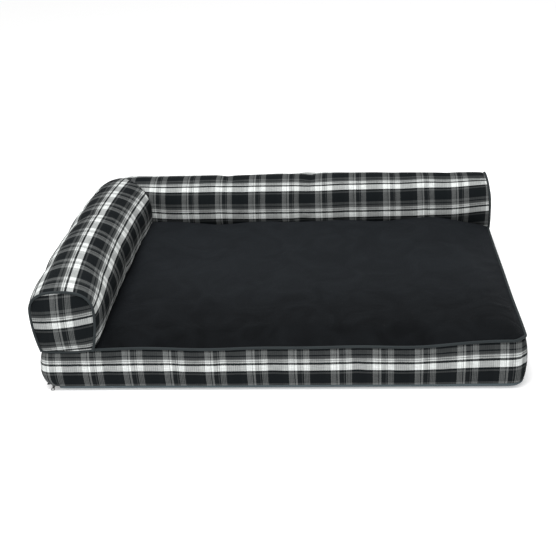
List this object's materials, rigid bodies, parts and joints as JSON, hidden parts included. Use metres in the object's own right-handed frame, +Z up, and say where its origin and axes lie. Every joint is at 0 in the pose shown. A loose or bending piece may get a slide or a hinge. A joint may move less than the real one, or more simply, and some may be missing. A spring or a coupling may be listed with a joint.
{
  "type": "pet cushion bed",
  "caption": "Rectangular foam pet bed: crowned plush sleeping surface, zipped plaid cover with piped edges, and a mitred L-shaped bolster along its back and left side.",
  "frame": {"origin": "centre of the flat underside of the mattress's base panel outline, on the floor", "axes": "+X to the right along the bed's width, with the side bolster on -X; +Y to the back, with the long bolster on +Y; +Z up"},
  "size_m": [0.9339, 0.706, 0.2167],
  "materials": {
    "plush": "short-pile plush",
    "plaid": "woven tartan",
    "base_canvas": "plain canvas",
    "piping": "covered cord",
    "foam": "open-cell foam",
    "fibre_fill": "loose fibre",
    "zip_tape": "woven tape",
    "zip_coil": "nylon coil",
    "zip_slider_enamel": "black enamel",
    "zip_pull_metal": "nickel plated"
  },
  "bodies": {
    "bed": {"foam_slab": "foam", "sleep_panel": "plush", "front_boxing": "plaid", "right_boxing": "plaid", "back_boxing": "plaid", "left_boxing": "plaid", "base_panel": "base_canvas", "top_piping": "piping", "left_bolster_cover": "plaid", "left_bolster_fill": "fibre_fill", "left_bolster_end_cap": "plaid", "left_bolster_cap_piping": "piping", "back_bolster_cover": "plaid", "back_bolster_fill": "fibre_fill", "back_bolster_end_cap": "plaid", "back_bolster_cap_piping": "piping", "zip_outer_tape": "zip_tape", "zip_inner_tape": "zip_tape", "zip_outer_coil": "zip_coil", "zip_inner_coil": "zip_coil", "zip_front_stop": "zip_slider_enamel", "zip_back_stop": "zip_slider_enamel"},
    "zip_slider": {"zip_slider": "zip_slider_enamel"},
    "zip_pull": {"zip_pull": "zip_pull_metal"}
  },
  "joints": [
    {"name": "zip_slide", "type": "slide", "parent": "bed", "child": "zip_slider", "axis": [0, 1, 0], "range_m": [0, 0.645]},
    {"name": "pull_flip", "type": "hinge", "parent": "zip_slider", "child": "zip_pull", "pos_m": [-0.4435, -0.3228, 0.00555], "axis": [1, 0, 0], "range_deg": [-12, 160]}
  ]
}
